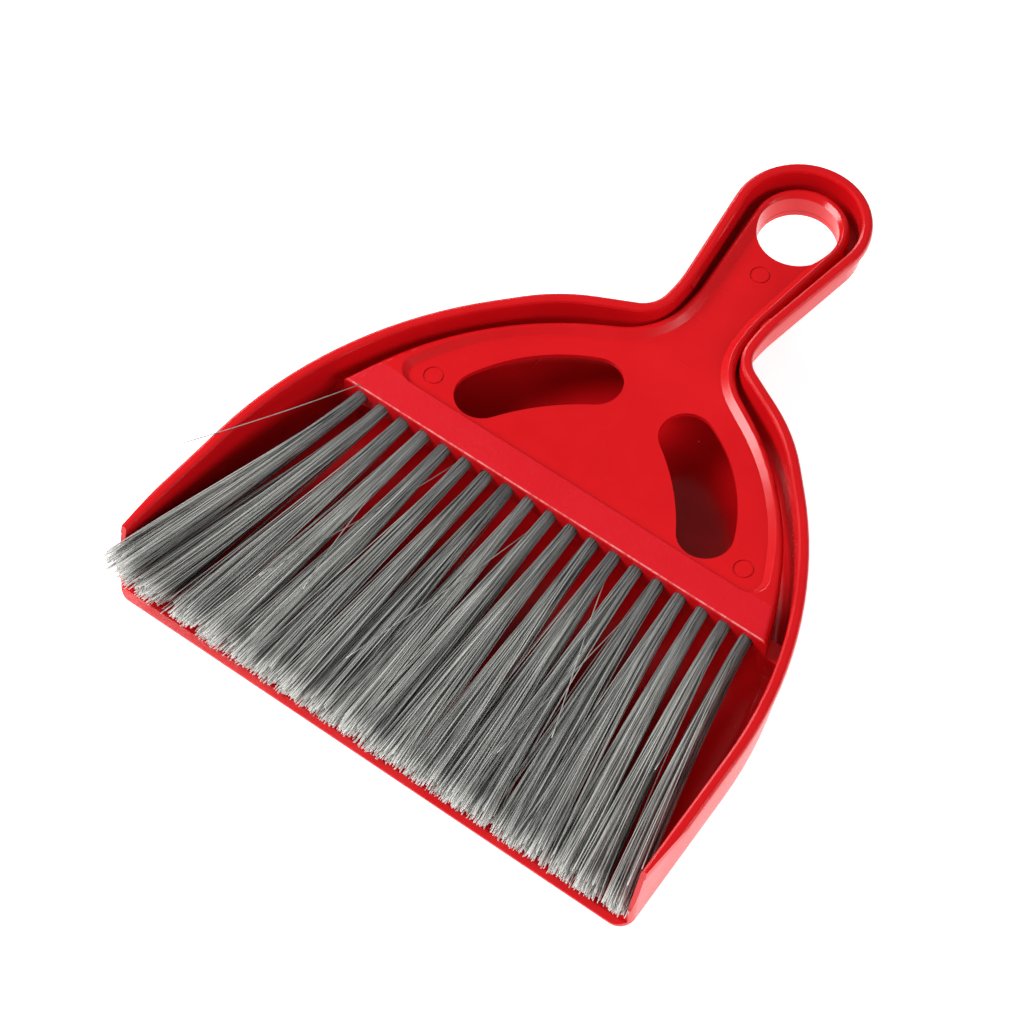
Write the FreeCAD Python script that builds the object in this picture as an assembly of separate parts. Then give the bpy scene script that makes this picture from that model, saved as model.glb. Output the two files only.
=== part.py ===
import FreeCAD, Part
import math
import os

V = FreeCAD.Vector

# Dustpan with a hand brush nested in it. Millimetres, +Z up, +Y towards the
# handle, the mouth at -Y, the pan's underside on Z = 0.

# ---- overall sizes of the dustpan
mouth_y = -140.0          # front edge of the lip
mouth_half_width = 112.2  # outer rim, half width at the mouth
rim_height = 29.0         # top of the rolled rim
floor_thickness = 2.0
wall_thickness = 1.8
rim_width = 4.0           # rolled rim, outer edge to the wall's inner face
rim_depth = 3.2
rim_inner_round = 1.0
rim_taper_y = -108.0     # from here forward the rim's overhang narrows
wall_draft = 1.5          # how far a wall leans in over its height
floor_blend = 6.0         # fillet between floor and walls
mouth_corner_radius = 6.0
wall_nose_y = -137.0      # front of the side walls near the floor
wall_nose_z = 8.0
wall_top_y = -130.5       # front of the side walls at the rim
lip_bevel = 2.2
lip_bevel_depth = 1.1
lip_groove_gap = 1.8
lip_groove_width = 1.1
lip_groove_depth = 0.45

# ---- dustpan handle
handle_end_y = 114.2      # centre of the round end of both handles
pan_handle_radius = 25.8
handle_step_y = 50.0      # where the tub stops and the handle channel begins
handle_floor_z = 13.5
handle_step_lean = 5.0
hanging_radius = 14.8     # hanging hole, the same in pan and brush
hanging_y = 112.9
collar_thickness = 1.8
seat_z = 14.3             # top of the ledges the brush rests on
handle_seat_z = 15.8      # top of the collar its handle rests on

# Turning points of the pan's outer rim: x, y, radius of the round
pan_bends = [(105.7, -21.9, 160.0), (50.5, 37.8, 74.0),
             (20.1, 53.0, 10.5), (19.1, 66.0, 58.0)]

# ---- brush block
brush_top_z = 24.5
seat_gap = 0.2            # clearance between the ledges and the brush
brush_front_y = -35.2
brush_half_width = 89.8
brush_end_radius = 17.8
bar_depth = 12.7
panel_drop = 2.0          # how far the panel lies below bar and bead
bead_slope = 2.6          # run of the slope from the bead down to the panel
bead_slope_round = 0.9
panel_thickness = 1.9
skirt_thickness = 2.2
panel_corner_radius = 6.0
bead_round = 1.9
bar_edge_bevel = 0.7
brush_bends = [(69.2, 15.8, 127.0), (14.6, 47.8, 25.6), (13.0, 69.0, 60.0)]
brush_handle_y = 49.0     # from here back the underside is higher

# Outline of the sunk panel, in the same form as the two outlines above
panel_half_width = 83.7
panel_end_radius = 12.9
panel_bends = [(59.5, 15.9, 98.0), (9.9, 44.4, 30.5), (8.0, 69.0, 64.5)]

# ---- finger openings: two lobes joined by two curves
inner_lobe = (19.6, 17.4)
outer_lobe = (47.6, -11.0)
lobe_radius = 10.0
finger_outer_curve = 66.0
finger_inner_curve = 90.0

# ---- small round gate marks
mark_radius = 3.7
mark_ring_width = 0.5
mark_depth = 0.35
block_mark = (66.1, -14.6)
handle_mark_y = 89.5

# ---- snap lugs and ledges
lug_y = 71.0
lug_length = 5.0
lug_height = 1.6
lug_reach = 1.1
ledge_x = 86.0
ledge_y = -34.5
ledge_length = 7.0

# ---- tufts
tuft_count = 19
tuft_pitch = 9.12
tuft_radius = 2.5
tuft_hole_gap = 0.06
tuft_hole_depth = 9.6
tuft_root_z = 19.4
tuft_tip_z = 7.4
tuft_tip_y = -133.0
tuft_tip_pitch = 11.0
tuft_tip_half_width = 5.0
tuft_tip_half_height = 4.4
anchor_thickness = 0.5
anchor_width = 4.2
anchor_height = 1.8


def unit(v):
    return v * (1.0 / v.Length)


def meet(p, d, q, e):
    """Where the line through p along d crosses the line through q along e."""
    cross = d.x * e.y - d.y * e.x
    t = ((q.x - p.x) * e.y - (q.y - p.y) * e.x) / cross
    return p + d * t


def tangent_point(corner, end_y, end_r):
    """Where a line from corner touches the round handle end, on the +X side."""
    dx = corner.x
    dy = corner.y - end_y
    away = math.atan2(dy, dx)
    swing = math.acos(end_r / math.hypot(dx, dy))
    a = away + swing
    return V(end_r * math.cos(a), end_y + end_r * math.sin(a), 0)


def half_outline(bends, start, front_y, corner_r, end_y, end_r, inset):
    """Lines and arcs of the +X half, from the front middle to the handle's tip."""
    path = [start] + [V(b[0], b[1], 0) for b in bends]
    path.append(tangent_point(path[-1], end_y, end_r))
    lines = []
    for a, b in zip(path[:-1], path[1:]):
        d = unit(b - a)
        inward = V(-d.y, d.x, 0)
        lines.append((a + inward * inset, d))
    front = (V(0, front_y, 0), V(1, 0, 0))
    lines = [front] + lines
    corners = []
    radii = [corner_r] + [b[2] for b in bends]
    for i in range(len(lines) - 1):
        p, d = lines[i]
        q, e = lines[i + 1]
        r = radii[i]
        if i > 0:
            turn = d.x * e.y - d.y * e.x
            r = r - inset if turn > 0 else r + inset
        corners.append((meet(p, d, q, e), d, e, r))
    edges = []
    here = front[0]
    for c, d, e, r in corners:
        if r < 0.01:
            edges.append(Part.makeLine(here, c))
            here = c
            continue
        half = math.acos(max(-1.0, min(1.0, d.dot(e)))) / 2
        t = r * math.tan(half)
        a = c - d * t
        b = c + e * t
        mid = c + unit(e - d) * (r / math.cos(half) - r)
        edges.append(Part.makeLine(here, a))
        edges.append(Part.Arc(a, mid, b).toShape())
        here = b
    tip_line, tip_dir = lines[-1]
    touch = path[-1] + V(-tip_dir.y, tip_dir.x, 0) * inset
    edges.append(Part.makeLine(here, touch))
    return edges, touch


def outline(bends, start, front_y, corner_r, end_r, inset, z):
    """Closed wire, the same on both sides of the YZ plane."""
    edges, touch = half_outline(bends, start, front_y, corner_r, handle_end_y, end_r, inset)
    top = V(0, handle_end_y + end_r - inset, 0)
    other = V(-touch.x, touch.y, 0)
    arc = Part.Arc(touch, top, other).toShape()
    mirrored = [e.mirror(V(0, 0, 0), V(1, 0, 0)) for e in reversed(edges)]
    wire = Part.Wire(Part.__sortEdges__(edges + [arc] + mirrored))
    wire.translate(V(0, 0, z))
    return wire


def pan_outline(inset, z, front_y=mouth_y, corner_r=0.0):
    start = V(mouth_half_width, mouth_y, 0)
    return outline(pan_bends, start, front_y, corner_r, pan_handle_radius, inset, z)


def brush_outline(inset, z, front_y, corner_r=0.0):
    start = V(brush_half_width, brush_front_y, 0)
    return outline(brush_bends, start, front_y, corner_r, brush_end_radius, inset, z)


def panel_outline(inset, z, front_y):
    start = V(panel_half_width, brush_front_y, 0)
    return outline(panel_bends, start, front_y, panel_corner_radius, panel_end_radius, inset, z)


def prism(wire, height):
    return Part.Face(wire).extrude(V(0, 0, height))


def side_profile(points, half_width):
    """A solid of constant YZ section, centred on X = 0."""
    pts = [V(-half_width, y, z) for y, z in points]
    face = Part.Face(Part.makePolygon(pts + [pts[0]]))
    return face.extrude(V(2 * half_width, 0, 0))


def round_edges(solid, radius, wanted):
    edges = [e for e in solid.Edges if wanted(e)]
    return solid.makeFillet(radius, edges)


def behind(solid, y_min, corner_r):
    """The part of a prism behind y_min, its two new upright corners rounded."""
    box = solid.BoundBox
    slab = Part.makeBox(box.XLength + 20, y_min - box.YMin + 20, box.ZLength + 20,
                        V(box.XMin - 10, box.YMin - 20, box.ZMin - 10))
    rest = solid.cut(slab).removeSplitter()
    return round_edges(rest, corner_r, lambda e: e.BoundBox.ZLength > 1.0
                       and abs(e.BoundBox.YMax - y_min) < 1e-4)


def flat_at(e, z):
    box = e.BoundBox
    return abs(box.ZMin - z) < 1e-4 and abs(box.ZMax - z) < 1e-4


def pan_outside():
    foot = pan_outline(rim_width - wall_thickness + wall_draft, 0.0, mouth_y, mouth_corner_radius)
    head_z = rim_height - 1.0
    head = pan_outline(rim_width - wall_thickness, head_z, mouth_y, mouth_corner_radius)
    tub = Part.makeLoft([foot, head], True, True)
    rim = prism(pan_outline(0.0, rim_height - rim_depth, mouth_y, mouth_corner_radius), rim_depth)
    rim = round_edges(rim, 1.5, lambda e: flat_at(e, rim_height))
    return tub.fuse(rim)


def pan_inside():
    open_y = mouth_y - 30.0
    foot = pan_outline(rim_width + wall_draft, floor_thickness, open_y)
    head = pan_outline(rim_width - 0.1, rim_height + 2.0, open_y)
    hollow = Part.makeLoft([foot, head], True, True)
    hollow = round_edges(hollow, floor_blend,
                         lambda e: flat_at(e, floor_thickness) and e.BoundBox.YMax > mouth_y)
    # The rim's inner edge is broken in two flats, close to a round.
    r = rim_inner_round
    steps = [(0.0, rim_height - r), (0.3 * r, rim_height - 0.3 * r), (1.05 * r, rim_height + 0.01)]
    wires = [pan_outline(rim_width - out, z, open_y) for out, z in steps]
    for low, high in zip(wires[:-1], wires[1:]):
        hollow = hollow.fuse(Part.makeLoft([low, high], True, True))
    return hollow


def below_handle(shift_y, shift_z):
    y0 = handle_step_y + shift_y
    y1 = y0 + handle_step_lean
    z1 = handle_floor_z + shift_z
    return side_profile([(y0, -1.0), (y1, z1), (200.0, z1), (200.0, -1.0)], 60.0)


def mouth_trim():
    z0 = floor_thickness
    y0 = mouth_y - 40.0
    return side_profile([(y0, z0), (wall_nose_y, z0), (wall_nose_y, wall_nose_z),
                         (wall_top_y, rim_height + 0.5), (y0, rim_height + 0.5)], 150.0)


def lip_details():
    top = floor_thickness + 0.01
    bevel = side_profile([(mouth_y - 0.5, floor_thickness - lip_bevel_depth),
                          (mouth_y, floor_thickness - lip_bevel_depth),
                          (mouth_y + lip_bevel, top), (mouth_y - 0.5, top)], 130.0)
    y0 = mouth_y + lip_bevel + lip_groove_gap
    groove = Part.makeBox(2 * (mouth_half_width - 12.0), lip_groove_width, 1.0,
                          V(-(mouth_half_width - 12.0), y0, floor_thickness - lip_groove_depth))
    return [bevel, groove]


def hole_collar(z0, z1):
    return Part.makeCylinder(hanging_radius + collar_thickness, z1 - z0, V(0, hanging_y, z0))


def ledge(side):
    """A rib on floor and wall that carries one end of the brush."""
    reach = 40.0
    x0 = side * ledge_x if side > 0 else -ledge_x - reach
    return Part.makeBox(reach, ledge_length, seat_z, V(x0, ledge_y, 0))


def lugs():
    """Two small lugs on the inside of the neck, just above the brush."""
    block = Part.makeBox(80.0, lug_length, lug_height,
                         V(-40.0, lug_y - lug_length / 2, brush_top_z + 0.6))
    wall_in = rim_width + lug_reach
    z0 = brush_top_z - 1.0
    keep_out = prism(pan_outline(wall_in, z0, mouth_y), 10.0)
    return block.cut(keep_out)


def rim_taper(side):
    """Narrows the rim's overhang towards the mouth, where it ends flush."""
    bend = pan_bends[0]
    lean = (mouth_half_width - bend[0]) / (bend[1] - mouth_y)
    x_front = mouth_half_width - (rim_width - wall_thickness) - 0.6
    x_back = mouth_half_width - lean * (rim_taper_y - mouth_y) + 0.05
    z0 = rim_height - rim_depth - 0.4
    pts = [V(side * x_front, mouth_y - 1.0, z0), V(side * x_back, rim_taper_y, z0),
           V(side * (x_back + 20.0), rim_taper_y, z0), V(side * (x_back + 20.0), mouth_y - 1.0, z0)]
    return Part.Face(Part.makePolygon(pts + [pts[0]])).extrude(V(0, 0, 10.0))


def dustpan():
    outside = pan_outside()
    outside = outside.cut(below_handle(0.0, 0.0))
    hollow = pan_inside().cut(below_handle(-2.1, floor_thickness))
    envelope = outside.copy()
    body = outside.cut(hollow)
    extras = [ledge(1), ledge(-1), lugs(), hole_collar(handle_floor_z, handle_seat_z)]
    for extra in extras:
        body = body.fuse(extra.common(envelope))
    body = body.cut(mouth_trim())
    body = body.cut(rim_taper(1)).cut(rim_taper(-1))
    for cutter in lip_details():
        body = body.cut(cutter)
    bore = Part.makeCylinder(hanging_radius, 40.0, V(0, hanging_y, -5.0))
    body = body.cut(bore)
    return body.removeSplitter()


def finger_hole(side):
    """Kidney shape: two round lobes, a bulging outer side and a hollow inner one."""
    a = V(inner_lobe[0], inner_lobe[1], 0)
    b = V(outer_lobe[0], outer_lobe[1], 0)
    along = unit(b - a)
    across = V(-along.y, along.x, 0)
    half = (b - a).Length / 2
    mid = (a + b) * 0.5
    out_r = finger_outer_curve
    in_r = finger_inner_curve
    out_c = mid - across * math.sqrt((out_r - lobe_radius) ** 2 - half ** 2)
    in_c = mid - across * math.sqrt((in_r + lobe_radius) ** 2 - half ** 2)
    a_out = out_c + unit(a - out_c) * out_r
    b_out = out_c + unit(b - out_c) * out_r
    m_out = out_c + across * out_r
    a_in = in_c + unit(a - in_c) * in_r
    b_in = in_c + unit(b - in_c) * in_r
    m_in = in_c + across * in_r
    edges = [Part.Arc(a_out, m_out, b_out).toShape(),
             Part.Arc(b_out, b + along * lobe_radius, b_in).toShape(),
             Part.Arc(b_in, m_in, a_in).toShape(),
             Part.Arc(a_in, a - along * lobe_radius, a_out).toShape()]
    hole = prism(Part.Wire(Part.__sortEdges__(edges)), 40.0)
    if side < 0:
        hole = hole.mirror(V(0, 0, 0), V(1, 0, 0))
    return hole


def gate_mark(x, y):
    z = brush_top_z - panel_drop
    ring = Part.makeCylinder(mark_radius, 1.0, V(x, y, z - mark_depth))
    core = Part.makeCylinder(mark_radius - mark_ring_width, 1.0, V(x, y, z - mark_depth))
    return ring.cut(core)


def tuft_line(i):
    """Root point on the bar's front face and tip point of one tuft."""
    k = i - (tuft_count - 1) / 2.0
    root = V(k * tuft_pitch, brush_front_y, tuft_root_z)
    tip = V(k * tuft_tip_pitch, tuft_tip_y, tuft_tip_z)
    return root, tip


def tuft_drilling(i):
    root, tip = tuft_line(i)
    d = unit(tip - root)
    r = tuft_radius + tuft_hole_gap
    return Part.makeCylinder(r, tuft_hole_depth + 5.0, root - d * tuft_hole_depth, d)


def brush_block():
    base_z = seat_z + seat_gap
    panel_z = brush_top_z - panel_drop
    body = prism(brush_outline(0.0, base_z, brush_front_y), brush_top_z - base_z)
    body = round_edges(body, bead_round, lambda e: flat_at(e, brush_top_z)
                       and e.BoundBox.YMax > brush_front_y + 0.1)
    low = brush_top_z - bar_edge_bevel
    body = body.cut(side_profile([(brush_front_y - 1.0, low), (brush_front_y, low),
                                  (brush_front_y + bar_edge_bevel, brush_top_z),
                                  (brush_front_y + bar_edge_bevel, brush_top_z + 1.0),
                                  (brush_front_y - 1.0, brush_top_z + 1.0)], 120.0))
    recess_y = brush_front_y + bar_depth
    ahead_y = brush_front_y - 5.0
    recess = Part.makeLoft([panel_outline(0.0, panel_z, recess_y),
                            panel_outline(-1.1 * bead_slope, panel_z + 1.1 * panel_drop, recess_y)],
                           True, True)
    body = body.cut(recess)
    body = round_edges(body, bead_slope_round, bead_inner_edge)
    cavity = behind(prism(brush_outline(skirt_thickness, base_z - 1.0, ahead_y),
                          panel_z - panel_thickness - base_z + 1.0), recess_y + 1.0, 3.0)
    body = body.cut(cavity)
    body = body.fuse(hole_collar(base_z, panel_z - 0.5))
    handle_base_z = handle_seat_z + seat_gap
    body = body.cut(Part.makeBox(80.0, 120.0, handle_base_z, V(-40.0, brush_handle_y, 0)))
    bore = Part.makeCylinder(hanging_radius, 40.0, V(0, hanging_y, -5.0))
    cutters = [bore, finger_hole(1), finger_hole(-1)]
    cutters += [gate_mark(block_mark[0], block_mark[1]), gate_mark(-block_mark[0], block_mark[1])]
    cutters.append(gate_mark(0.0, handle_mark_y))
    cutters += [tuft_drilling(i) for i in range(tuft_count)]
    for cutter in cutters:
        body = body.cut(cutter)
    return body.removeSplitter()


def bead_inner_edge(e):
    """True for the recess's upper edge along bead and bar."""
    if not flat_at(e, brush_top_z):
        return False
    probe = e.valueAt((e.FirstParameter + e.LastParameter) / 2)
    face = Part.Face(brush_outline(bead_round + 0.1, brush_top_z, brush_front_y))
    return probe.y > brush_front_y + bar_depth - 0.1 and face.isInside(probe, 1e-3, True)


def oval(center, d, half_w, half_h):
    """Ellipse across the direction d, wide in the level direction."""
    level = unit(V(-d.y, d.x, 0))
    up = unit(d.cross(level))
    if half_w >= half_h:
        shape = Part.Ellipse(center + level * half_w, center + up * half_h, center)
    else:
        shape = Part.Ellipse(center + up * half_h, center - level * half_w, center)
    return Part.Wire([shape.toShape()])


def tuft(i):
    """One bundle of filaments, as a closed shape that spreads towards its tip."""
    root, tip = tuft_line(i)
    d = unit(tip - root)
    length = (tip - root).Length
    start = -(tuft_hole_depth - anchor_thickness - 0.2)
    spread_w = tuft_tip_half_width - tuft_radius
    spread_h = tuft_tip_half_height - tuft_radius
    stations = [(start, 0.0, 0.0), (2.0, 0.0, 0.0), (0.45 * length, 0.5, 0.45), (length, 1.0, 1.0)]
    ovals = [oval(root + d * s, d, tuft_radius + 0.002 + spread_w * w, tuft_radius + spread_h * h)
             for s, w, h in stations]
    return Part.makeLoft(ovals, True, True)


def tuft_anchor(i):
    """Flat metal anchor at the bottom of a tuft hole."""
    root, tip = tuft_line(i)
    d = unit(tip - root)
    plate = Part.makeBox(anchor_width, anchor_thickness, anchor_height,
                         V(-anchor_width / 2, -anchor_thickness / 2, -anchor_height / 2))
    turn = FreeCAD.Rotation(V(0, -1, 0), d)
    at = root - d * (tuft_hole_depth - anchor_thickness / 2 - 0.05)
    plate.Placement = FreeCAD.Placement(at, turn)
    return plate


def save(name, shape):
    if shape.ShapeType == "Compound" and len(shape.Solids) == 1:
        shape = shape.Solids[0]
    shape.exportStep("parts/" + name + ".step")
    print(name, shape.isValid(), len(shape.Solids), len(shape.Faces), round(shape.Volume, 1))


os.makedirs("parts", exist_ok=True)
save("dustpan", dustpan())
save("brush_block", brush_block())
for n in range(tuft_count):
    save("tuft_%02d" % (n + 1), tuft(n))
save("tuft_anchors", Part.makeCompound([tuft_anchor(n) for n in range(tuft_count)]))
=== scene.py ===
import math

import bpy
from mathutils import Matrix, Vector


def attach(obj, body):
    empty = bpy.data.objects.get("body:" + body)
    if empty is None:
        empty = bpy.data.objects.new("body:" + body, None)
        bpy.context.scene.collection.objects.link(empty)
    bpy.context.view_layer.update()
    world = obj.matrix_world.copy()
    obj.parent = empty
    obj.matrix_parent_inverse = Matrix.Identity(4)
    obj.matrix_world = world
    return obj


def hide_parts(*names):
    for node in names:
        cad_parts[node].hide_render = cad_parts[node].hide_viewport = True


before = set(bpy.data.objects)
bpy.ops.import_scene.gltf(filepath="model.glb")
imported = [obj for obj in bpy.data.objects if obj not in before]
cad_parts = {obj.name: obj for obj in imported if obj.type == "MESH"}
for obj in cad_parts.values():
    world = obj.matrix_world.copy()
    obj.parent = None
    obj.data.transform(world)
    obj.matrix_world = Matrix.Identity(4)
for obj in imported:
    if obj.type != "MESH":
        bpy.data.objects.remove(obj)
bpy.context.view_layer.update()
scene = bpy.context.scene
MM = 0.001

# Sizes of the brush, in millimetres, as the frame has them.
TUFTS = 19
ROOT_PITCH = 9.12
BAR_FRONT_Y = -35.2
BAR_BACK_Y = -22.5
ROOT_Z = 19.4
HOLE_START = 4.0
PAN_FLOOR_Z = 2.0
BAR_TOP_Z = 24.0        # everything on the brush above this is the bar's top or the bead
WALL_INNER_X = 107.3    # as far sideways as the pan's walls let a fibre go
WALL_FRONT_Y = -132.8   # where the walls end
FREE_PAST_WALL = 0.02   # metres that a fibre may spread beyond the walls there


# ---------------------------------------------------------------- node helpers
def add(tree, kind, **settings):
    n = tree.nodes.new(kind)
    for key, value in settings.items():
        setattr(n, key, value)
    return n


def put(socket, value, tree):
    """Sets a socket, or links it when value is another node's output."""
    if isinstance(value, bpy.types.NodeSocket):
        tree.links.new(value, socket)
    elif value is not None:
        socket.default_value = value


def math_node(tree, op, a, b=None):
    n = add(tree, "ShaderNodeMath", operation=op)
    for socket, value in zip(n.inputs, (a, b)):
        put(socket, value, tree)
    return n.outputs[0]


def vector_node(tree, op, a, b=None, scale=None):
    n = add(tree, "ShaderNodeVectorMath", operation=op)
    put(n.inputs[0], a, tree)
    if b is not None:
        put(n.inputs[1], b, tree)
    if scale is not None:
        put(n.inputs["Scale"], scale, tree)
    return n.outputs[0]


def xyz(tree, x, y, z):
    n = add(tree, "ShaderNodeCombineXYZ")
    for socket, value in zip(n.inputs, (x, y, z)):
        put(socket, value, tree)
    return n.outputs[0]


def parts_of(tree, vector):
    n = add(tree, "ShaderNodeSeparateXYZ")
    put(n.inputs[0], vector, tree)
    return n.outputs


# ---------------------------------------------------------------- bristle tufts
def random_value(tree, seed, offset, low=0.0, high=1.0, ident=None):
    n = add(tree, "FunctionNodeRandomValue", data_type="FLOAT")
    sockets = {s.identifier: s for s in n.inputs}
    put(sockets["Min_001"], low, tree)
    put(sockets["Max_001"], high, tree)
    if ident is not None:
        put(sockets["ID"], ident, tree)
    put(sockets["Seed"], math_node(tree, "ADD", seed, float(offset)), tree)
    return n.outputs["Value"] if n.outputs["Value"].enabled else n.outputs[1]


def store(tree, geometry, name, value, kind="FLOAT"):
    n = add(tree, "GeometryNodeStoreNamedAttribute", data_type=kind, domain="POINT")
    put(n.inputs["Geometry"], geometry, tree)
    put(n.inputs["Name"], name, tree)
    put(n.inputs["Value"], value, tree)
    return n.outputs["Geometry"]


def read(tree, name, kind="FLOAT"):
    n = add(tree, "GeometryNodeInputNamedAttribute", data_type=kind)
    put(n.inputs["Name"], name, tree)
    return n.outputs["Attribute"]


TUFT_INPUTS = (("Root", "NodeSocketVector"), ("Tip", "NodeSocketVector"),
               ("Fibres", "NodeSocketInt"), ("Root Radius", "NodeSocketFloat"),
               ("Fibre Radius", "NodeSocketFloat"), ("Tip Half Width", "NodeSocketFloat"),
               ("Tip Half Height", "NodeSocketFloat"), ("Trim Spread", "NodeSocketFloat"),
               ("Clump Pull", "NodeSocketFloat"), ("Bow", "NodeSocketFloat"),
               ("Slant", "NodeSocketFloat"), ("Rise", "NodeSocketFloat"),
               ("Lowest", "NodeSocketFloat"), ("Widest", "NodeSocketFloat"),
               ("Wall Front", "NodeSocketFloat"), ("Segments", "NodeSocketInt"),
               ("Sides", "NodeSocketInt"), ("Seed", "NodeSocketInt"),
               ("Material", "NodeSocketMaterial"))


def tuft_tree():
    """A bundle of fibres from a round hole, fanning out to a trimmed end."""
    tree = bpy.data.node_groups.new("tuft_fibres", "GeometryNodeTree")
    face = tree.interface
    face.new_socket("Geometry", in_out="OUTPUT", socket_type="NodeSocketGeometry")
    for name, kind in TUFT_INPUTS:
        face.new_socket(name, in_out="INPUT", socket_type=kind)
    given = add(tree, "NodeGroupInput").outputs
    seed = given["Seed"]

    points = add(tree, "GeometryNodePoints")
    put(points.inputs["Count"], given["Fibres"], tree)
    ident = add(tree, "GeometryNodeInputIndex").outputs[0]

    angle = random_value(tree, seed, 1, 0.0, 2 * math.pi, ident)
    reach = math_node(tree, "SQRT", random_value(tree, seed, 2, 0.0, 1.0, ident))
    across = math_node(tree, "MULTIPLY", reach, math_node(tree, "COSINE", angle))
    height = math_node(tree, "MULTIPLY", reach, math_node(tree, "SINE", angle))
    start = vector_node(tree, "ADD", given["Root"], vector_node(
        tree, "SCALE", xyz(tree, across, 0.0, height), scale=given["Root Radius"]))

    # Fibres gather in a few clumps, and each clump leans its own way.
    clump = math_node(tree, "FLOOR", random_value(tree, seed, 3, 0.0, 7.0, ident))
    lean_x = random_value(tree, seed, 11, -1.0, 1.0, clump)
    lean_z = random_value(tree, seed, 12, -1.0, 1.0, clump)
    loose_x = random_value(tree, seed, 4, -1.0, 1.0, ident)
    loose_z = random_value(tree, seed, 5, -1.0, 1.0, ident)
    pull = given["Clump Pull"]
    free = math_node(tree, "SUBTRACT", 1.0, pull)

    def spread(own, lean, loose):
        rest = math_node(tree, "ADD", math_node(tree, "MULTIPLY", own, 0.45),
                         math_node(tree, "MULTIPLY", loose, 0.55))
        return math_node(tree, "ADD", math_node(tree, "MULTIPLY", lean, pull),
                         math_node(tree, "MULTIPLY", rest, free))

    tip_x = math_node(tree, "MULTIPLY", spread(across, lean_x, loose_x), given["Tip Half Width"])
    tip_z = math_node(tree, "MULTIPLY", spread(height, lean_z, loose_z), given["Tip Half Height"])
    trim = random_value(tree, seed, 6, -1.0, 1.0, ident)
    trim = math_node(tree, "MULTIPLY", trim, given["Trim Spread"])
    # The end is cut on a slight slant: the higher a fibre lies, the further it reaches.
    trim = math_node(tree, "ADD", trim, math_node(tree, "MULTIPLY", tip_z, given["Slant"]))
    end = vector_node(tree, "ADD", given["Tip"], xyz(tree, tip_x, trim, tip_z))
    end_parts = parts_of(tree, end)
    end_z = math_node(tree, "MAXIMUM", end_parts[2], given["Lowest"])
    end = xyz(tree, end_parts[0], end_parts[1], end_z)
    bend_x = math_node(tree, "MULTIPLY", random_value(tree, seed, 13, -1.0, 1.0, clump), 0.7)
    bend_x = math_node(tree, "ADD", bend_x, random_value(tree, seed, 7, -0.5, 0.5, ident))
    bend_z = math_node(tree, "MULTIPLY", random_value(tree, seed, 14, -0.4, 1.0, clump), 0.7)
    bend_z = math_node(tree, "ADD", bend_z, random_value(tree, seed, 8, -0.3, 0.5, ident))
    bow = vector_node(tree, "SCALE", xyz(tree, bend_x, 0.0, bend_z), scale=given["Bow"])

    cloud = points.outputs[0]
    cloud = store(tree, cloud, "start", start, "FLOAT_VECTOR")
    cloud = store(tree, cloud, "end", end, "FLOAT_VECTOR")
    cloud = store(tree, cloud, "bow", bow, "FLOAT_VECTOR")
    # Every fibre and every clump has its own tone, and painted shade makes fibres that lie deep darker.
    depth = math_node(tree, "MULTIPLY", spread(height, lean_z, loose_z), 0.5)
    depth = math_node(tree, "ADD", depth, 0.5)
    tone_and_shade = math_node(tree, "ADD",
                     math_node(tree, "MULTIPLY", random_value(tree, seed, 9, 0.0, 1.0, ident), 0.5),
                     math_node(tree, "MULTIPLY", random_value(tree, seed, 15, 0.0, 1.0, clump), 0.2))
    tone_and_shade = math_node(tree, "ADD", tone_and_shade, math_node(tree, "MULTIPLY", depth, 0.3))
    cloud = store(tree, cloud, "tone_and_shade", tone_and_shade)

    line = add(tree, "GeometryNodeCurvePrimitiveLine")
    line.inputs["End"].default_value = (0.0, 0.0, 1.0)
    steps = add(tree, "GeometryNodeResampleCurve")
    put(steps.inputs["Curve"], line.outputs[0], tree)
    put(steps.inputs["Count"], given["Segments"], tree)
    copies = add(tree, "GeometryNodeInstanceOnPoints")
    put(copies.inputs["Points"], cloud, tree)
    put(copies.inputs["Instance"], steps.outputs[0], tree)
    real = add(tree, "GeometryNodeRealizeInstances")
    put(real.inputs[0], copies.outputs[0], tree)

    along = add(tree, "GeometryNodeSplineParameter").outputs["Factor"]
    strands = store(tree, real.outputs[0], "along", along)
    start_at = read(tree, "start", "FLOAT_VECTOR")
    end_at = read(tree, "end", "FLOAT_VECTOR")
    eased = math_node(tree, "POWER", along, 1.18)
    travel = vector_node(tree, "SUBTRACT", end_at, start_at)
    travel_parts = parts_of(tree, travel)
    # Straight along Y, eased sideways and upwards, so the bundle stays tight near the bar.
    risen = math_node(tree, "POWER", along, given["Rise"])
    moved = xyz(tree, math_node(tree, "MULTIPLY", travel_parts[0], eased),
                math_node(tree, "MULTIPLY", travel_parts[1], along),
                math_node(tree, "MULTIPLY", travel_parts[2], risen))
    hump = math_node(tree, "MULTIPLY", math_node(tree, "MULTIPLY", along, 4.0),
                     math_node(tree, "SUBTRACT", 1.0, along))
    hump = math_node(tree, "MULTIPLY", hump, along)
    place = vector_node(tree, "ADD", vector_node(tree, "ADD", start_at, moved),
                        vector_node(tree, "SCALE", read(tree, "bow", "FLOAT_VECTOR"), scale=hump))
    # The walls hold the fibres in as far as their front edge; past it the fibres fan out.
    place_parts = parts_of(tree, place)
    past = math_node(tree, "LESS_THAN", place_parts[1], given["Wall Front"])
    limit = math_node(tree, "ADD", given["Widest"], math_node(tree, "MULTIPLY", past, FREE_PAST_WALL))
    held = math_node(tree, "MINIMUM", place_parts[0], limit)
    held = math_node(tree, "MAXIMUM", held, math_node(tree, "MULTIPLY", limit, -1.0))
    place = xyz(tree, held, place_parts[1], place_parts[2])
    shaped = add(tree, "GeometryNodeSetPosition")
    put(shaped.inputs["Geometry"], strands, tree)
    put(shaped.inputs["Position"], place, tree)

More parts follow.
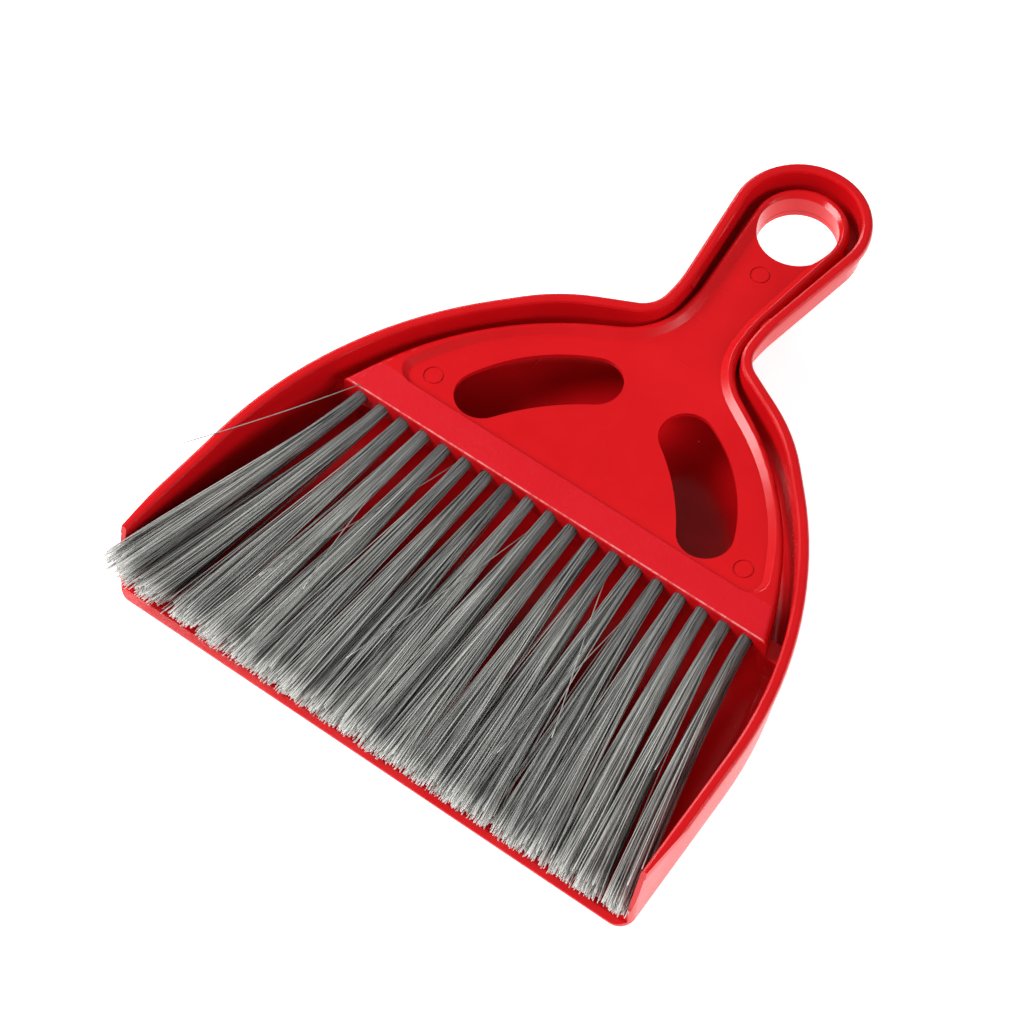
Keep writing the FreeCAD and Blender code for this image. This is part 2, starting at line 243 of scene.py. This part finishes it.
    ring = add(tree, "GeometryNodeCurvePrimitiveCircle", mode="RADIUS")
    put(ring.inputs["Resolution"], given["Sides"], tree)
    put(ring.inputs["Radius"], given["Fibre Radius"], tree)
    tube = add(tree, "GeometryNodeCurveToMesh")
    put(tube.inputs["Curve"], shaped.outputs[0], tree)
    put(tube.inputs["Profile Curve"], ring.outputs[0], tree)
    put(tube.inputs["Fill Caps"], True, tree)
    last = add(tree, "GeometryNodeRealizeInstances")
    put(last.inputs[0], tube.outputs[0], tree)
    dress = add(tree, "GeometryNodeSetMaterial")
    put(dress.inputs["Geometry"], last.outputs[0], tree)
    put(dress.inputs["Material"], given["Material"], tree)
    out = add(tree, "NodeGroupOutput")
    put(out.inputs[0], dress.outputs[0], tree)
    return tree


def grown(tree, name, values):
    """Runs the tree with these inputs and returns the result as a plain mesh."""
    holder = bpy.data.objects.new(name + "_source", bpy.data.meshes.new(name + "_source"))
    scene.collection.objects.link(holder)
    grow = holder.modifiers.new("grow", "NODES")
    grow.node_group = tree
    ids = {item.name: item.identifier for item in tree.interface.items_tree if item.in_out == "INPUT"}
    for key, value in values.items():
        grow[ids[key]] = value
    bpy.context.view_layer.update()
    seen = holder.evaluated_get(bpy.context.evaluated_depsgraph_get())
    mesh = bpy.data.meshes.new_from_object(seen)
    mesh.name = name
    bpy.data.objects.remove(holder)
    for extra in ("start", "end", "bow"):
        if extra in mesh.attributes:
            mesh.attributes.remove(mesh.attributes[extra])
    return mesh


def piece(name, mesh, body):
    obj = bpy.data.objects.new(name, mesh)
    scene.collection.objects.link(obj)
    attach(obj, body)
    return obj


# Where the middle of a tuft's cut end lies, and half its width and height there.
TIP_PITCH = 11.3
USUAL_END = {"y": -136.9, "z": 6.8, "half_w": 10.4, "half_h": 5.4}
# The tufts next to the walls end elsewhere: those on the left climb their wall.
OUTER_ENDS = {
    0: {"x": -105.6, "y": -139.0, "z": 16.6, "half_w": 7.0, "half_h": 13.9},
    1: {"x": -94.5, "y": -137.9, "z": 10.8, "half_h": 10.6},
    2: {"z": 8.0, "half_h": 6.4},
    TUFTS - 1: {"x": 103.4, "z": 8.4, "half_w": 7.0, "half_h": 6.6},
}


def tuft_values(index, material):
    """The tree's inputs for one tuft, from its hole in the bar to its cut end."""
    k = index - (TUFTS - 1) / 2
    root_x = k * ROOT_PITCH
    tip = {"x": k * TIP_PITCH, **USUAL_END, **OUTER_ENDS.get(index, {})}
    swing = math.atan2(tip["x"] - root_x, BAR_FRONT_Y - tip["y"])
    inside_x = root_x - math.sin(swing) * HOLE_START
    return {
        "Root": Vector((inside_x, BAR_FRONT_Y + HOLE_START, ROOT_Z + 0.4)) * MM,
        "Tip": Vector((tip["x"], tip["y"], tip["z"])) * MM,
        "Fibres": 185,
        "Root Radius": 2.25 * MM,
        "Fibre Radius": 0.18 * MM,
        "Tip Half Width": tip["half_w"] * MM,
        "Tip Half Height": tip["half_h"] * MM,
        "Trim Spread": 3.0 * MM,
        "Clump Pull": 0.46,
        "Bow": 2.0 * MM,
        "Slant": -0.2,
        "Rise": 1.12,
        "Lowest": (PAN_FLOOR_Z + 0.5) * MM,
        "Widest": WALL_INNER_X * MM,
        "Wall Front": WALL_FRONT_Y * MM,
        "Segments": 11,
        "Sides": 5,
        "Seed": 100 + 37 * index,
        "Material": material,
    }


# A few fibres have strayed: from which tuft, to which end point, how bowed, how soon they rise.
STRAYS = (
    (0, (-114.8, -93.0, 29.4), 0.3, 0.22),
    (18, (107.0, -137.5, 28.6), 1.5, 0.8),
    (18, (106.0, -128.0, 24.0), 2.0, 1.1),
    (17, (88.0, -96.0, 24.0), 3.0, 1.1),
    (14, (40.0, -118.0, 15.0), 3.0, 1.1),
    (9, (-22.0, -120.0, 16.0), 3.5, 1.1),
    (5, (-66.0, -112.0, 15.5), 3.0, 1.1),
    (12, (52.0, -104.0, 18.0), 2.5, 1.1),
    (3, (-50.0, -108.0, 17.0), 2.5, 1.1),
)


def stray_values(index, end, bow, rise, number, material):
    values = tuft_values(index, material)
    values.update({"Tip": Vector(end) * MM, "Fibres": 1, "Root Radius": 1.6 * MM,
                   "Tip Half Width": 0.0, "Tip Half Height": 0.0, "Trim Spread": 0.0,
                   "Bow": bow * MM, "Rise": rise, "Widest": 0.2, "Segments": 16,
                   "Seed": 900 + number})
    return values


def joined(name, meshes):
    objs = []
    for m in meshes:
        o = bpy.data.objects.new(name, m)
        scene.collection.objects.link(o)
        objs.append(o)
    with bpy.context.temp_override(active_object=objs[0], selected_objects=objs,
                                   selected_editable_objects=objs, object=objs[0]):
        bpy.ops.object.join()
    mesh = objs[0].data
    bpy.data.objects.remove(objs[0])
    mesh.name = name
    return mesh


# ---------------------------------------------------------------- shader groups
def shader_group(name, inputs, outputs):
    tree = bpy.data.node_groups.new(name, "ShaderNodeTree")
    for label, kind, default in inputs:
        s = tree.interface.new_socket(label, in_out="INPUT", socket_type=kind)
        if default is not None:
            s.default_value = default
    for label, kind in outputs:
        tree.interface.new_socket(label, in_out="OUTPUT", socket_type=kind)
    return tree, add(tree, "NodeGroupInput").outputs, add(tree, "NodeGroupOutput").inputs


def noise(tree, vector, scale, detail=3.0, roughness=0.55, stretch=None):
    if stretch is not None:
        m = add(tree, "ShaderNodeMapping")
        put(m.inputs["Vector"], vector, tree)
        m.inputs["Scale"].default_value = stretch
        vector = m.outputs[0]
    n = add(tree, "ShaderNodeTexNoise")
    put(n.inputs["Vector"], vector, tree)
    put(n.inputs["Scale"], scale, tree)
    n.inputs["Detail"].default_value = detail
    n.inputs["Roughness"].default_value = roughness
    return n.outputs[0]


def ramp_between(tree, value, low, high, to_low=0.0, to_high=1.0):
    n = add(tree, "ShaderNodeMapRange", clamp=True)
    for socket, v in zip(n.inputs, (value, low, high, to_low, to_high)):
        put(socket, v, tree)
    return n.outputs[0]


def moulded_skin_group():
    """Flow ripples and fine pitting of an injection-moulded surface."""
    tree, given, out = shader_group(
        "moulded_skin",
        [("Vector", "NodeSocketVector", None), ("Ripple Scale", "NodeSocketFloat", 60.0),
         ("Pit Scale", "NodeSocketFloat", 2600.0), ("Pit Depth", "NodeSocketFloat", 0.25)],
        [("Height", "NodeSocketFloat"), ("Gloss Loss", "NodeSocketFloat"), ("Tint", "NodeSocketFloat")])
    ripple = noise(tree, given["Vector"], given["Ripple Scale"], 2.0, 0.5)
    pits = noise(tree, given["Vector"], given["Pit Scale"], 2.0, 0.6)
    height = math_node(tree, "ADD", ripple, math_node(tree, "MULTIPLY", pits, given["Pit Depth"]))
    cloud = noise(tree, given["Vector"], 22.0, 4.0, 0.6)
    put(out["Height"], height, tree)
    put(out["Gloss Loss"], ramp_between(tree, cloud, 0.35, 0.7), tree)
    put(out["Tint"], cloud, tree)
    return tree


def scuff_group():
    """Fine scratches from use, in two crossing directions."""
    tree, given, out = shader_group(
        "scuffs",
        [("Vector", "NodeSocketVector", None), ("Amount", "NodeSocketFloat", 0.5)],
        [("Mask", "NodeSocketFloat")])
    first = noise(tree, given["Vector"], 30.0, 5.0, 0.6, (1.0, 28.0, 8.0))
    second = noise(tree, given["Vector"], 26.0, 5.0, 0.6, (24.0, 1.3, 8.0))
    patches = ramp_between(tree, noise(tree, given["Vector"], 14.0, 2.0), 0.45, 0.65)
    both = math_node(tree, "MAXIMUM", ramp_between(tree, first, 0.66, 0.7),
                     ramp_between(tree, second, 0.67, 0.71))
    mask = math_node(tree, "MULTIPLY", math_node(tree, "MULTIPLY", both, patches), given["Amount"])
    put(out["Mask"], mask, tree)
    return tree


def speck_group():
    """Scattered light specks of lint and dust."""
    tree, given, out = shader_group(
        "lint_specks",
        [("Vector", "NodeSocketVector", None), ("Scale", "NodeSocketFloat", 420.0),
         ("Coverage", "NodeSocketFloat", 0.05)],
        [("Mask", "NodeSocketFloat")])
    cells = add(tree, "ShaderNodeTexVoronoi", feature="F1")
    put(cells.inputs["Vector"], given["Vector"], tree)
    put(cells.inputs["Scale"], given["Scale"], tree)
    spot = ramp_between(tree, cells.outputs["Distance"], 0.03, 0.07, 1.0, 0.0)
    pick = parts_of(tree, cells.outputs["Color"])[0]
    chosen = math_node(tree, "LESS_THAN", pick, given["Coverage"])
    put(out["Mask"], math_node(tree, "MULTIPLY", spot, chosen), tree)
    return tree


def use(tree, group, **values):
    n = add(tree, "ShaderNodeGroup")
    n.node_tree = group
    for key, value in values.items():
        put(n.inputs[key.replace("_", " ")], value, tree)
    return n.outputs


def new_material(name):
    m = bpy.data.materials.new(name)
    m.use_nodes = True
    tree = m.node_tree
    tree.nodes.clear()
    shader = add(tree, "ShaderNodeBsdfPrincipled")
    end = add(tree, "ShaderNodeOutputMaterial")
    tree.links.new(shader.outputs[0], end.inputs[0])
    where = add(tree, "ShaderNodeTexCoord").outputs["Object"]
    return m, tree, shader.inputs, where


def mix_colour(tree, amount, a, b):
    n = add(tree, "ShaderNodeMix", data_type="RGBA")
    sockets = {s.identifier: s for s in n.inputs}
    put(sockets["Factor_Float"], amount, tree)
    put(sockets["A_Color"], a, tree)
    put(sockets["B_Color"], b, tree)
    return [o for o in n.outputs if o.identifier == "Result_Color"][0]


def bump(tree, height, strength, distance):
    n = add(tree, "ShaderNodeBump")
    put(n.inputs["Height"], height, tree)
    n.inputs["Strength"].default_value = strength
    n.inputs["Distance"].default_value = distance
    return n.outputs[0]


RED = (0.68, 0.0060, 0.0095, 1.0)
RED_DEEP = (0.60, 0.0045, 0.0075, 1.0)
RED_PAINTED_SHEEN = (0.68, 0.008, 0.020, 1.0)
LINT = (0.75, 0.55, 0.5, 1.0)
PAINTED_EDGE_HIGHLIGHT = (0.90, 0.42, 0.42, 1.0)
FIBRE_DARK = (0.008, 0.009, 0.009, 1.0)
FIBRE_LIGHT = (0.62, 0.625, 0.59, 1.0)
FIBRE_ROOT_SHADE = (0.05, 0.05, 0.055, 1.0)
FIBRE_CUT = (0.88, 0.88, 0.84, 1.0)
STEEL_DARK = (0.42, 0.42, 0.43, 1.0)
STEEL_LIGHT = (0.62, 0.62, 0.63, 1.0)
FLOOR_DARK = (0.90, 0.90, 0.90, 1.0)
FLOOR_LIGHT = (0.93, 0.93, 0.93, 1.0)
WHITE = (1.0, 1.0, 1.0, 1.0)


def red_plastic(name, groups, bar=None):
    """Glossy red polypropylene. bar gives the Y range that is finely textured, tinted pinker as a
    painted reflection, and given a painted highlight along its front edge.
    """
    skin_group, scuffs, specks = groups
    m, tree, shader, where = new_material(name)
    skin = use(tree, skin_group, Vector=where, Ripple_Scale=70.0, Pit_Scale=2400.0, Pit_Depth=0.10)
    worn = use(tree, scuffs, Vector=where, Amount=0.35)["Mask"]
    colour = mix_colour(tree, ramp_between(tree, skin["Tint"], 0.3, 0.7), RED_DEEP, RED)
    rough = ramp_between(tree, skin["Gloss Loss"], 0.0, 1.0, 0.17, 0.26)
    rough = math_node(tree, "ADD", rough, math_node(tree, "MULTIPLY", worn, 0.25))
    height = skin["Height"]
    dust = use(tree, specks, Vector=where, Scale=300.0, Coverage=0.02)["Mask"]
    if bar:
        at = parts_of(tree, where)
        top = ramp_between(tree, at[2], BAR_TOP_Z * MM, (BAR_TOP_Z + 0.3) * MM)
        ahead = ramp_between(tree, at[1], bar[1] + 0.1 * MM, bar[1] + 0.6 * MM, 1.0, 0.0)
        band = math_node(tree, "MULTIPLY", top, ahead)
        grain = noise(tree, where, 1500.0, 3.0, 0.7)
        grain = math_node(tree, "MULTIPLY", grain, math_node(tree, "MULTIPLY", band, 0.9))
        height = math_node(tree, "ADD", height, grain)
        rough = math_node(tree, "ADD", rough, math_node(tree, "MULTIPLY", band, 0.06))
        # Painted reflection: the bar's top is tinted pinker, standing in for the sheen it reflects.
        colour = mix_colour(tree, math_node(tree, "MULTIPLY", band, 0.6), colour, RED_PAINTED_SHEEN)
        # Painted highlight: the bar's front edge is painted pale as a highlight line, broken up here
        # and there by noise.
        front = ramp_between(tree, at[1], bar[0] + 0.45 * MM, bar[0] + 0.75 * MM, 1.0, 0.0)
        edge = math_node(tree, "MULTIPLY", top, front)
        highlight_breakup = noise(tree, where, 420.0, 3.0, 0.6, (1.0, 0.3, 0.3))
        highlight_breakup = ramp_between(tree, highlight_breakup, 0.40, 0.62, 0.25, 1.0)
        colour = mix_colour(tree, math_node(tree, "MULTIPLY", edge, highlight_breakup), colour, PAINTED_EDGE_HIGHLIGHT)
    colour = mix_colour(tree, math_node(tree, "MULTIPLY", dust, 0.8), colour, LINT)
    put(shader["Base Color"], colour, tree)
    put(shader["Roughness"], rough, tree)
    put(shader["Normal"], bump(tree, height, 0.35, 0.0004), tree)
    shader["IOR"].default_value = 1.49
    shader["Specular IOR Level"].default_value = 0.42
    return m


def bristle_plastic(name):
    """Grey filament: painted shade makes it darker in the bundle near the bar; pale at the cut end."""
    m, tree, shader, where = new_material(name)
    tone_and_shade = add(tree, "ShaderNodeAttribute", attribute_name="tone_and_shade").outputs["Fac"]
    along = add(tree, "ShaderNodeAttribute", attribute_name="along").outputs["Fac"]
    streak = noise(tree, where, 240.0, 3.0, 0.6, (1.0, 0.12, 1.0))
    lightness = math_node(tree, "ADD", math_node(tree, "MULTIPLY", tone_and_shade, 0.65),
                          math_node(tree, "MULTIPLY", streak, 0.35))
    lightness = ramp_between(tree, lightness, 0.24, 0.82)
    fibre = mix_colour(tree, lightness, FIBRE_DARK, FIBRE_LIGHT)
    # Painted shade: the fibres darken towards the bar, where the bundle is dense and shaded.
    near = ramp_between(tree, along, 0.0, 0.40, 1.0, 0.0)
    fibre = mix_colour(tree, math_node(tree, "MULTIPLY", near, 0.75), fibre, FIBRE_ROOT_SHADE)
    cut = ramp_between(tree, along, 0.94, 1.0)
    fibre = mix_colour(tree, math_node(tree, "MULTIPLY", cut, 0.75), fibre, FIBRE_CUT)
    rough = ramp_between(tree, noise(tree, where, 500.0, 2.0), 0.3, 0.7, 0.32, 0.5)
    put(shader["Base Color"], fibre, tree)
    put(shader["Roughness"], rough, tree)
    put(shader["Normal"], bump(tree, streak, 0.15, 0.0001), tree)
    shader["IOR"].default_value = 1.5
    shader["Specular IOR Level"].default_value = 0.6
    return m


def steel(name):
    m, tree, shader, where = new_material(name)
    brushed = noise(tree, where, 900.0, 3.0, 0.6, (0.1, 1.0, 1.0))
    put(shader["Base Color"], mix_colour(tree, brushed, STEEL_DARK, STEEL_LIGHT), tree)
    put(shader["Roughness"], ramp_between(tree, brushed, 0.3, 0.7, 0.25, 0.45), tree)
    put(shader["Normal"], bump(tree, brushed, 0.2, 0.0001), tree)
    shader["Metallic"].default_value = 1.0
    return m


def pale_floor(name):
    m, tree, shader, where = new_material(name)
    cloud = noise(tree, where, 3.0, 2.0)
    put(shader["Base Color"], mix_colour(tree, cloud, FLOOR_DARK, FLOOR_LIGHT), tree)
    put(shader["Roughness"], ramp_between(tree, cloud, 0.3, 0.7, 0.75, 0.85), tree)
    # A faint glow keeps the shadows light, as a lit table does.
    shader["Emission Color"].default_value = WHITE
    shader["Emission Strength"].default_value = 0.68
    return m


# ---------------------------------------------------------------- the pieces
groups = (moulded_skin_group(), scuff_group(), speck_group())
pan_red = red_plastic("pan_plastic", groups)
brush_red = red_plastic("brush_plastic", groups, bar=(BAR_FRONT_Y * MM, BAR_BACK_Y * MM))
bristle = bristle_plastic("bristle")
anchor_steel = steel("anchor_wire")

for node_name, material in (("dustpan", pan_red), ("brush_block", brush_red),
                            ("tuft_anchors", anchor_steel)):
    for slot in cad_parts[node_name].material_slots:
        slot.material = material

fibres = tuft_tree()
for index in range(TUFTS):
    name = "tuft_%02d" % (index + 1)
    mesh = grown(fibres, name + "_fibres", tuft_values(index, bristle))
    bundle = piece(name + "_fibres", mesh, "brush")
    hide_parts(name)

stray_meshes = [grown(fibres, "stray_%d" % n, stray_values(i, end, bow, rise, n, bristle))
                for n, (i, end, bow, rise) in enumerate(STRAYS)]
piece("stray_fibres", joined("stray_fibres", stray_meshes), "brush")


# ---------------------------------------------------------------- floor, light, camera
def floor():
    half = 3.0
    below = -0.0004  # just under the pan's foot, so the two faces don't flicker
    corners = [(-half, -half, below), (half, -half, below), (half, half, below), (-half, half, below)]
    mesh = bpy.data.meshes.new("floor")
    mesh.from_pydata(corners, [], [(0, 1, 2, 3)])
    obj = bpy.data.objects.new("floor", mesh)
    obj.data.materials.append(pale_floor("pale_floor"))
    scene.collection.objects.link(obj)


def softbox(name, toward, distance, width, height, power):
    """A rectangular white light of this size, toward that side, aimed at the origin."""
    light = bpy.data.lights.new(name, "AREA")
    light.shape = "RECTANGLE"
    light.size = width
    light.size_y = height
    light.energy = power
    obj = bpy.data.objects.new(name, light)
    direction = Vector(toward).normalized()
    obj.location = direction * distance
    obj.rotation_euler = direction.to_track_quat("Z", "Y").to_euler()
    scene.collection.objects.link(obj)


floor()
softbox("key_left", (-0.70, -0.34, 0.62), 1.35, 0.8, 0.6, 19.5)
softbox("back_left", (-0.74, 0.46, 0.46), 1.3, 0.7, 0.22, 3.0)
softbox("side_right", (0.88, 0.06, 0.46), 1.4, 0.9, 0.55, 10.0)
softbox("low_front", (0.22, -0.74, 0.50), 1.3, 0.5, 0.08, 2.0)

world = bpy.data.worlds.new("studio")
world.use_nodes = True
surround = world.node_tree.nodes["Background"].inputs
surround["Color"].default_value = WHITE
surround["Strength"].default_value = 0.16
scene.world = world

AZ = math.radians(37.03)  # how far right of straight ahead the camera stands
EL = math.radians(57.25)  # how steeply it looks down
camera_data = bpy.data.cameras.new("camera")
camera_data.sensor_width = 36.0
camera_data.lens = 135.6
camera_data.clip_end = 20.0
camera = bpy.data.objects.new("camera", camera_data)
camera.location = Vector((418.4, -611.5, 1128.7)) * MM
back_dir = Vector((math.sin(AZ) * math.cos(EL), -math.cos(AZ) * math.cos(EL), math.sin(EL)))
camera.rotation_euler = back_dir.to_track_quat("Z", "Y").to_euler()
scene.collection.objects.link(camera)
scene.camera = camera
scene.view_settings.view_transform = "Standard"
